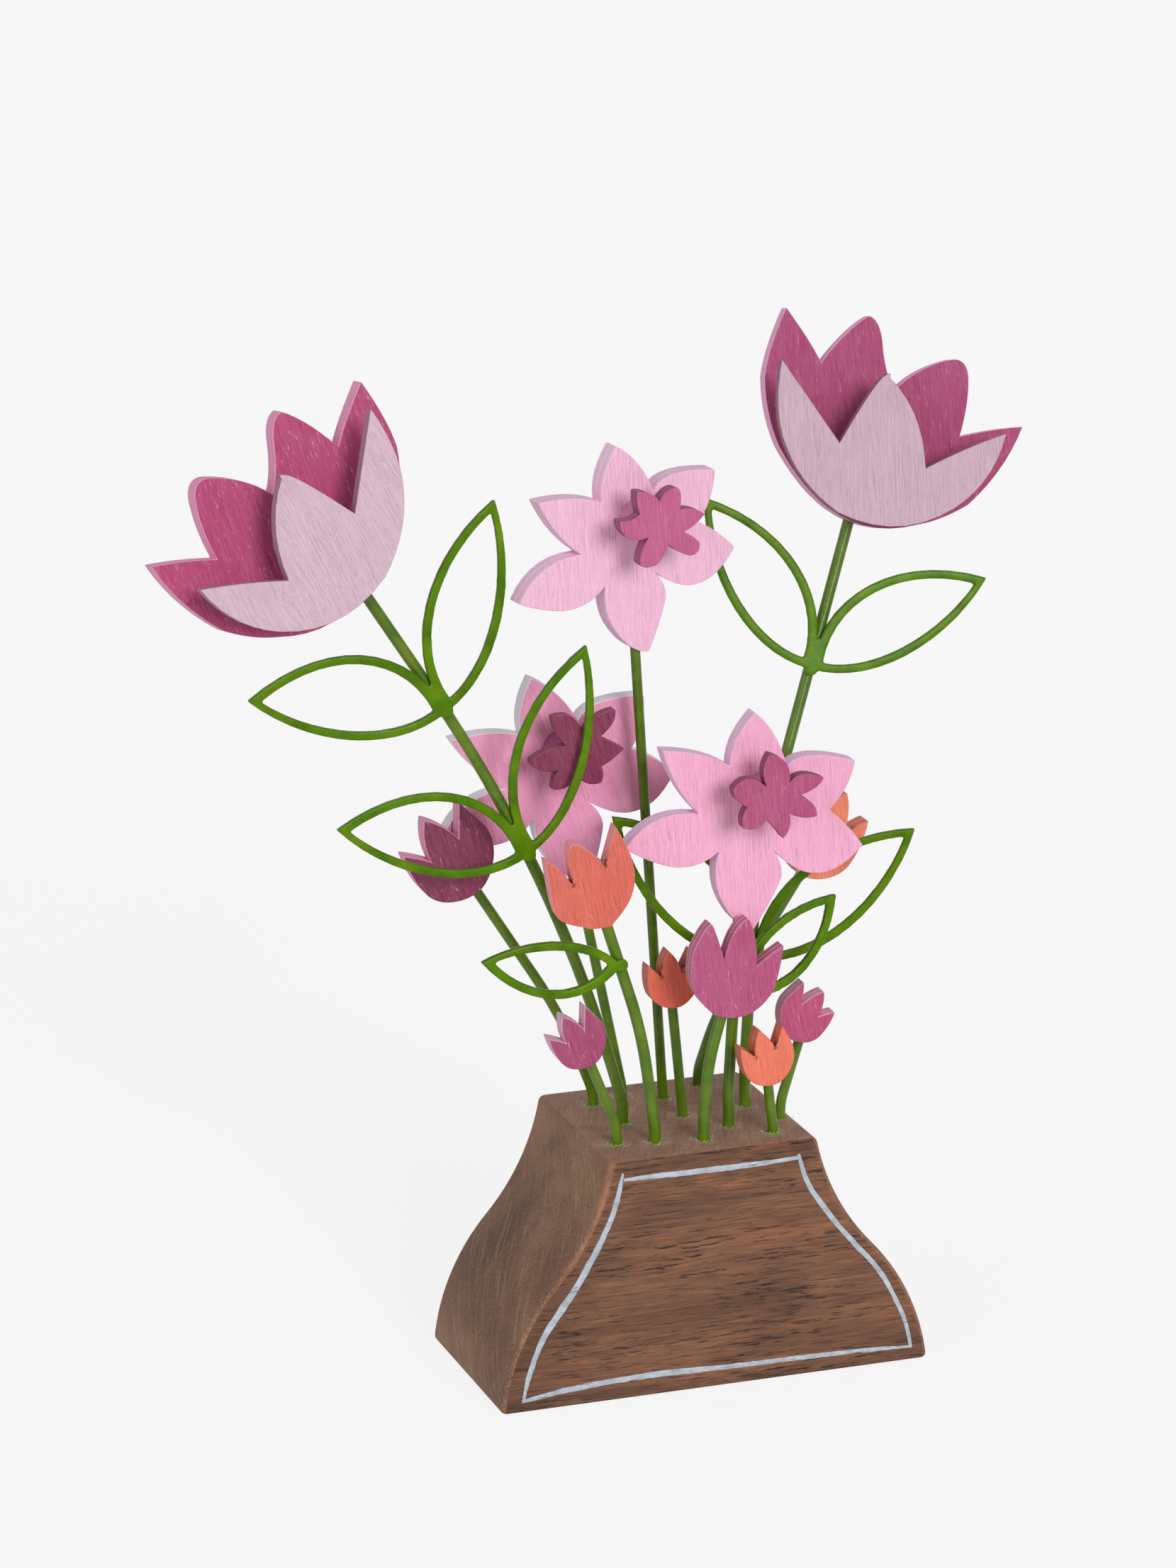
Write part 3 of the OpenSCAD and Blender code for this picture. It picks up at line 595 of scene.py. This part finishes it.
# %% Measure the block's outline
def outline_of_front(steps=14):
    """(height, half width) of the block's front in metres, from its corners."""
    corners = [v.co for v in nodes["base_block"].data.vertices]
    front = min(c.y for c in corners) + 0.01 * MM
    pairs = sorted({(round(c.z, 5), round(abs(c.x), 5)) for c in corners if c.y < front})
    return [pairs[round(i * (len(pairs) - 1) / (steps - 1))] for i in range(steps)]


outline = outline_of_front()
print("half widths in mm:", [(round(z / MM, 1), round(half / MM, 1)) for z, half in outline])


# %% Distance to the outline
def inside_outline(tree, across, height):
    """How far in metres a point of the front lies inside the outline, at its height."""
    widest = max(half for _, half in outline)
    curve = put(tree, "ShaderNodeFloatCurve", {"Value": height})
    points = curve.mapping.curves[0].points
    points[0].location = (0, outline[0][1] / widest)
    points[-1].location = (1, outline[-1][1] / widest)
    for z, half in outline[1:-1]:
        points.new(z / top_z, half / widest)
    for point in points:
        point.handle_type = "VECTOR"
    curve.mapping.update()
    reach = put(tree, "ShaderNodeMath", {"operation": "ABSOLUTE", 0: across}).outputs[0]
    back = put(tree, "ShaderNodeMath", {"operation": "MULTIPLY", 0: reach, 1: -1.0}).outputs[0]
    return put(tree, "ShaderNodeMath", {"operation": "MULTIPLY_ADD", 0: curve.outputs[0],
               1: widest, 2: back}).outputs[0]


# %% Stained hardwood
def stained_hardwood(name, holes):
    """Streaked front, speckled flanks, filed top, rubbed edges and dusty holes."""
    material, tree, shader, place = blank(name, shine=0.28)
    at = put(tree, "ShaderNodeSeparateXYZ", {"Vector": place}).outputs
    height = level(tree, (at["Z"], 0, top_z))
    # Real pores are about 0.2 mm wide, and so are the dots where they end. Both
    # are drawn two to four times as wide, so that they show.
    pores = streaks(tree, place, (7, 1.2, 0.5), 3.0, 0.6, 0.3)
    dots = streaks(tree, place, (0.77, 0.77, 0.77), 3.0, 0.7)
    worn = streaks(tree, place, (16, 9, 9), 3.0, 0.6)
    # Which of the three woods shows is told by the way the surface faces.
    normal = put(tree, "ShaderNodeNewGeometry").outputs["Normal"]
    facing = put(tree, "ShaderNodeSeparateXYZ", {0: normal}).outputs
    aside = put(tree, "ShaderNodeMath", {"operation": "ABSOLUTE", 0: facing["X"]}).outputs[0]
    to_top = level(tree, (facing["Z"], 0.75, 0.97))
    body = glaze(tree, front_wood(tree, place, at["Z"], pores, worn),
                 flank_wood(tree, place, dots), (aside, 0.2, 0.45))
    body = glaze(tree, body, top_wood(tree, place, worn, dots), to_top)
    # The edge is rubbed within 2.2 mm of the outline and 3 mm of the front,
    # in patches, and more towards the top, where hands reach it.
    patchy = streaks(tree, place, (9, 5, 14), 3.0, 0.6)
    front = block_low[1]
    body = glaze(tree, body, hue("B07A5C"),
                 (inside_outline(tree, at["X"], height), 0.4 * MM, 2.2 * MM, 1.0, 0.0),
                 (at["Y"], front + 0.8 * MM, front + 3 * MM, 1.0, 0.0),
                 (patchy, 0.48, 0.6, 0.0, 0.8), (height, 0.4, 0.95, 0.2, 1.0))
    # Pale dust lies round the holes, only where the surface looks up.
    dusty = streaks(tree, place, (1.2, 1.2, 1.2), 4.0, 0.7)
    body = glaze(tree, body, hue("C2B2A4"), nearness(tree, place, holes, 1.6, 5.0), to_top,
                 (dusty, 0.42, 0.6, 0.0, 0.9))
    rough = level(tree, (dots, 0.3, 0.7, 0.55, 0.72))
    tree.links.new(rough, shader.inputs["Roughness"])
    grooves = put(tree, "ShaderNodeMath", {"operation": "MULTIPLY_ADD", 0: pores, 1: 0.6,
                  2: level(tree, dots, (aside, 0.2, 0.45, 0.25, 1.0))}).outputs[0]
    finish(tree, shader, body, grooves, 0.5, 0.3)
    return material


hardwood = stained_hardwood("stained_hardwood", [middle for middle, _ in feet.values()])

# %% [markdown]
# ## The block's own edges
# The long edges of the block were broken with sandpaper, and its holes stayed
# sharp. So only the outer rim is rounded. The front face is then set back by
# the thickness of the painted line, so that the line ends where the solid does.

# %% Soften the block and set its front face back
LINE_MM, BLOCK_ROUND_MM = 0.12, 1.7


def on_rim(edge):
    """True for the block's long outer edges, and not for its holes or along its flanks."""
    start, end = (v.co for v in edge.verts)
    along_flank = abs(end.y - start.y) > 0.9 * edge.calc_length()
    inner = MM < start.z < top_z - MM
    return edge.calc_length() > MM and not (along_flank and inner)


block = softened("base_block", "block", BLOCK_ROUND_MM, segments=4, sharp=45,
                 merge_mm=0.08, wanted=on_rim)
front_y = min(v.co.y for v in block.data.vertices)
for vertex in block.data.vertices:
    if vertex.co.y < front_y + 0.02 * MM:
        vertex.co.y += LINE_MM * MM
block.data.materials.append(hardwood)
for face in block.data.polygons:
    face.use_smooth = abs(face.normal.y) < 0.98 and abs(face.normal.z) < 0.98
hand_over(block, "base_block")
print("block faces:", len(block.data.polygons))

# %% [markdown]
# ## The painted line
# A pale blue-grey line is brushed by hand a few millimetres inside the front's
# outline, in four strokes that overlap at the corners. Each stroke is a thin
# closed ribbon. A row of three points is extruded along the stroke's stations,
# with the middle point highest, and the whole strip is then extruded into the
# wood. A curve with a round section would be quicker, but too even: here the
# width changes as the brush was pressed, and the sides waver.

# %% Stations of the strokes: across, height and width in mm
STROKES = {
    "left": ((-26.6, 65.6, 0.5), (-26.9, 64.2, 1.0), (-28.1, 58.9, 1.5), (-30.2, 52.7, 1.5),
             (-33.5, 46.1, 1.6), (-37.2, 39.6, 1.9), (-40.7, 34.0, 1.9), (-45.5, 27.8, 2.1),
             (-49.6, 22.0, 1.8), (-52.1, 17.1, 1.6), (-54.7, 9.9, 1.4), (-56.3, 3.4, 0.7)),
    "top": ((-26.4, 63.6, 0.9), (-18.3, 63.7, 1.4), (-9.3, 63.5, 1.6), (-0.4, 63.5, 1.6),
            (7.4, 63.5, 1.6), (15.2, 63.5, 1.3), (24.9, 63.9, 1.0)),
    "right": ((24.4, 64.9, 0.7), (24.7, 63.3, 1.1), (26.1, 58.4, 1.3), (27.6, 54.8, 1.3),
              (31.3, 49.1, 1.5), (35.5, 43.2, 1.3), (40.4, 37.1, 1.4), (45.6, 31.2, 1.3),
              (49.4, 25.9, 1.4), (52.6, 19.4, 1.2), (55.1, 13.9, 1.2), (56.5, 9.0, 1.1),
              (57.4, 3.9, 0.9)),
    "bottom": ((-56.6, 3.5, 1.0), (-44.7, 5.1, 1.6), (-31.9, 5.9, 1.5), (-15.2, 6.2, 1.8),
               (0.4, 5.6, 1.4), (17.4, 5.4, 1.3), (33.1, 5.2, 1.3), (46.3, 4.8, 1.2),
               (57.6, 4.2, 0.6)),
}
# How high the middle of each stroke stands, and its sides; all in mm. The
# ribbons that cross at a corner differ, so that no two faces coincide.
CROWN_MM = {"left": 0.12, "right": 0.12, "top": 0.095, "bottom": 0.095}
SIDE_MM, STEP_MM, BURIED_MM = 0.03, 0.7, 0.15
# How many steps to each side are averaged, and how far and how often the sides
# waver. The last two keep the two sides, and the strokes, apart in the noise.
EASED_STEPS, WAVER, WAVER_MM, SIDES_APART, STROKES_APART = 3, 0.22, 1.6, 7, 5.3


# %% Follow a stroke's stations
def steps_of(stations):
    """(across, height, width) at every step along the stations, eased to a curve."""
    stations = [Vector(s) for s in stations]
    steps = []
    for here, there in zip(stations, stations[1:]):
        count = max(1, round((there - here).length / STEP_MM))
        steps += [here.lerp(there, i / count) for i in range(count)]
    steps.append(stations[-1])
    # Averaging over about 5 mm turns the corners between stations into a hand's curve.
    eased = []
    for i in range(len(steps)):
        reach = min(EASED_STEPS, i, len(steps) - 1 - i)
        near = steps[i - reach:i + reach + 1]
        eased.append(sum(near, Vector()) / len(near))
    return eased


def rows_of(stations, crown, seed):
    """Three points across the stroke at every step, the middle one highest."""
    steps = steps_of(stations)
    rows = []
    for i, spot in enumerate(steps):
        way = steps[min(i + 1, len(steps) - 1)] - steps[max(i - 1, 0)]
        side = Vector((-way.y, way.x)).normalized()
        row = []
        for across, proud in ((-0.5, SIDE_MM), (0.0, crown), (0.5, SIDE_MM)):
            place = Vector((i * STEP_MM / WAVER_MM, across * SIDES_APART, seed))
            ragged = 1 + WAVER * noise.noise(place) if across else 0
            x, z = Vector((spot.x, spot.y)) + side * across * spot.z * ragged
            row.append(Vector((x * MM, front_y + (LINE_MM - proud) * MM, z * MM)))
        rows.append(row)
    return rows


# %% Brush a stroke
def brush_stroke(work, rows):
    """Extrudes one ribbon along its rows of points, and then into the wood."""
    verts = [work.verts.new(p) for p in rows[0]]
    edges = [work.edges.new(pair) for pair in zip(verts, verts[1:])]
    strip = []
    for row in rows[1:]:
        made = bmesh.ops.extrude_edge_only(work, edges=edges)["geom"]
        edges = [g for g in made if isinstance(g, bmesh.types.BMEdge)
                 and not any(v in verts for v in g.verts)]
        strip += [g for g in made if isinstance(g, bmesh.types.BMFace)]
        fresh = [g for g in made if isinstance(g, bmesh.types.BMVert)]
        fresh.sort(key=lambda v: min(range(3), key=lambda k: (v.co - verts[k].co).length))
        for vertex, spot in zip(fresh, row):
            vertex.co = spot
        verts = fresh
    sunk = bmesh.ops.extrude_face_region(work, geom=strip)["geom"]
    for vertex in (g for g in sunk if isinstance(g, bmesh.types.BMVert)):
        vertex.co.y = front_y + (LINE_MM + BURIED_MM) * MM


work = bmesh.new()
for number, (side, stations) in enumerate(STROKES.items()):
    brush_stroke(work, rows_of(stations, CROWN_MM[side], number * STROKES_APART))
bmesh.ops.recalc_face_normals(work, faces=work.faces)
open_edges = sum(len(e.link_faces) != 2 for e in work.edges)
print("stroke faces:", len(work.faces), "open edges:", open_edges)
painted_line = as_object(work, "painted_line")


# %% The line's paint
def chalk_paint(name, code):
    """Thick matt paint drawn by a brush, cracked across where it bridged dark pores."""
    material, tree, shader, place = blank(name, 0.55)
    dabs = streaks(tree, place, (3, 3, 2), 3.0, 0.6)
    body = glaze(tree, hue("9FAAB4"), hue(code), (dabs, 0.35, 0.65))
    cracks = streaks(tree, place, (9, 1.0, 0.42), 2.0, 0.5, 0.4)
    body = glaze(tree, body, hue("4A3E38"), (cracks, 0.36, 0.31, 0.0, 0.85))
    # The chalk's grit is drawn much coarser than it is, so that it shows.
    grit = streaks(tree, place, (1.11, 1.11, 1.11), 3.0, 0.5)
    finish(tree, shader, body, grit, 0.3, 0.15)
    return material


painted_line.data.materials.append(chalk_paint("pale_blue_chalk_paint", "BCC8D3"))
hand_over(painted_line, None)

# %% [markdown]
# ## Crumbs at the feet of the wires
# Where a wire goes into its hole, the brush left a thick ragged collar of
# bright green, and grey dust sticks in it. Particles could scatter crumbs over
# the top, but here they belong to the wires, so a loop sets them round each
# foot. A crumb is a small sphere, pushed out of round by noise and pressed half
# into the block. A seeded generator places them, so every run gives the same.

# %% Make the crumbs
crumb_rng = random.Random(13)
# How far the noise pushes a crumb out of round, how many lumps it gives one,
# and how far apart in the noise neighbouring crumbs are.
LUMPY, LUMPS, CRUMBS_APART = 0.35, 1.3, 900


def crumbs(name, count, near_mm, far_mm, small_mm, big_mm, flat):
    """Many small lumps on the block's top, between two distances from each wire's side."""
    work = bmesh.new()
    for middle, radius in feet.values():
        for _ in range(count):
            angle = crumb_rng.uniform(0, 2 * math.pi)
            away = radius + crumb_rng.uniform(near_mm, far_mm) * MM
            size = crumb_rng.uniform(small_mm, big_mm) * MM
            spot = middle + Vector((math.cos(angle), math.sin(angle), 0)) * away
            made = bmesh.ops.create_icosphere(work, subdivisions=1, radius=size)["verts"]
            for vertex in made:
                lump = noise.noise(vertex.co / size * LUMPS + spot * CRUMBS_APART)
                vertex.co *= 1 + LUMPY * lump
                vertex.co.z *= flat
                vertex.co += spot
    bmesh.ops.recalc_face_normals(work, faces=work.faces)
    print(name, "faces:", len(work.faces))
    return as_object(work, name)


def crumb_paint(name, dark, light):
    """Rough crumbs in two tones."""
    material, tree, shader, place = blank(name, 0.75, 0.25)
    spots = streaks(tree, place, (1.11, 1.11, 1.11), 2.0, 0.5)
    tones = glaze(tree, hue(dark), hue(light), (spots, 0.4, 0.6))
    tree.links.new(tones, shader.inputs["Base Color"])
    return material


collars = crumbs("green_paint_crumbs", count=11, near_mm=-0.25, far_mm=0.45,
                 small_mm=0.4, big_mm=0.75, flat=0.75)
collars.data.materials.append(crumb_paint("thick_green_paint", "4E7A14", "86AC2E"))
hand_over(collars, None)
dust = crumbs("dust_crumbs", count=9, near_mm=0.5, far_mm=2.2,
              small_mm=0.14, big_mm=0.34, flat=0.55)
dust.data.materials.append(crumb_paint("drilling_dust", "8E8074", "D8CDC2"))
hand_over(dust, None)

# %% [markdown]
# ## Stage, light and camera
# The photo was taken on a seamless white table with a broad soft light in
# front, a little to the right and some 20 degrees up. A sun 24 degrees wide
# gives the soft shadows behind the boards. A wide weak one from the left lights
# the sawn edges, and the world fills the rest. Eyes, mirrors and glass see the
# table and the world nearly white, while their light on the object stays
# plain. The camera is the one fitted to the block's corners: its place, its
# turn and its lens.


# %% Floor and world
def seen_straight(tree):
    """1 for rays from the eye, and for those that a gloss or a glass sends on."""
    path = put(tree, "ShaderNodeLightPath").outputs
    both = put(tree, "ShaderNodeMath", {"operation": "MAXIMUM", 0: path["Is Camera Ray"],
               1: path["Is Glossy Ray"]}).outputs[0]
    return put(tree, "ShaderNodeMath", {"operation": "MAXIMUM", 0: both,
               1: path["Is Transmission Ray"]}).outputs[0]


FLOOR_GLOW, WORLD_FILL, WORLD_SEEN = 0.84, 0.32, 0.92
FLOOR_HALF_M = 12.0
work = bmesh.new()
bmesh.ops.create_grid(work, x_segments=1, y_segments=1, size=FLOOR_HALF_M)
floor = as_object(work, "floor")
paper, tree, shader, _ = blank("white_paper", 0.9, 0.1)
shader.inputs["Base Color"].default_value = hue("F6F6F6")
glow = put(tree, "ShaderNodeEmission", {"Color": hue("FFFFFF"), "Strength": 1.0})
share = level(tree, (seen_straight(tree), 0, 1, 0, FLOOR_GLOW))
both = put(tree, "ShaderNodeMixShader", {0: share, 1: shader.outputs[0], 2: glow.outputs[0]})
ending = next(n for n in tree.nodes if n.bl_idname == "ShaderNodeOutputMaterial")
tree.links.new(both.outputs[0], ending.inputs["Surface"])
floor.data.materials.append(paper)

scene = bpy.context.scene
scene.world = bpy.data.worlds.new("studio")
scene.world.use_nodes = True
tree = scene.world.node_tree
sky = tree.nodes["Background"]
sky.inputs["Color"].default_value = hue("FFFFFF")
strength = level(tree, (seen_straight(tree), 0, 1, WORLD_FILL, WORLD_SEEN))
tree.links.new(strength, sky.inputs["Strength"])


# %% Lamps: strength, and width, side and height in degrees
def towards(side, up):
    """The direction from the object to a place to its side and up, from the front."""
    return Vector((math.sin(side) * math.cos(up), -math.cos(side) * math.cos(up), math.sin(up)))


LAMPS = {"soft_key": (1.8, 24, 7, 20), "left_fill": (0.6, 45, -65, 18)}
for name, (energy, wide, side, up) in LAMPS.items():
    sun = bpy.data.lights.new(name, "SUN")
    sun.energy, sun.angle = energy, math.radians(wide)
    lamp = bpy.data.objects.new(name, sun)
    direction = towards(math.radians(side), math.radians(up))
    lamp.rotation_euler = direction.to_track_quat("Z", "Y").to_euler()
    scene.collection.objects.link(lamp)

# %% Camera fitted to the photo
AZIMUTH, ELEVATION, ROLL = (math.radians(a) for a in (-18.377, 15.314, -0.890))
EYE_MM, FOCAL_PX, PHOTO_HIGH_PX, SENSOR_MM = (-506.0, -1450.0, 585.4), 8206.69, 2212, 36
back = towards(AZIMUTH, ELEVATION)
right = Vector((math.cos(AZIMUTH), math.sin(AZIMUTH), 0))
rolled = right * math.cos(ROLL) + back.cross(right) * math.sin(ROLL)
camera_data = bpy.data.cameras.new("camera")
camera_data.sensor_width = SENSOR_MM
camera_data.lens = FOCAL_PX * SENSOR_MM / PHOTO_HIGH_PX
camera = bpy.data.objects.new("camera", camera_data)
scene.collection.objects.link(camera)
camera.matrix_world = Matrix.Translation(Vector(EYE_MM) * MM) @ Matrix(
    (rolled, back.cross(rolled), back)).transposed().to_4x4()
scene.camera = camera
scene.view_settings.view_transform = "Standard"
print("camera at", [round(c, 3) for c in camera.location])
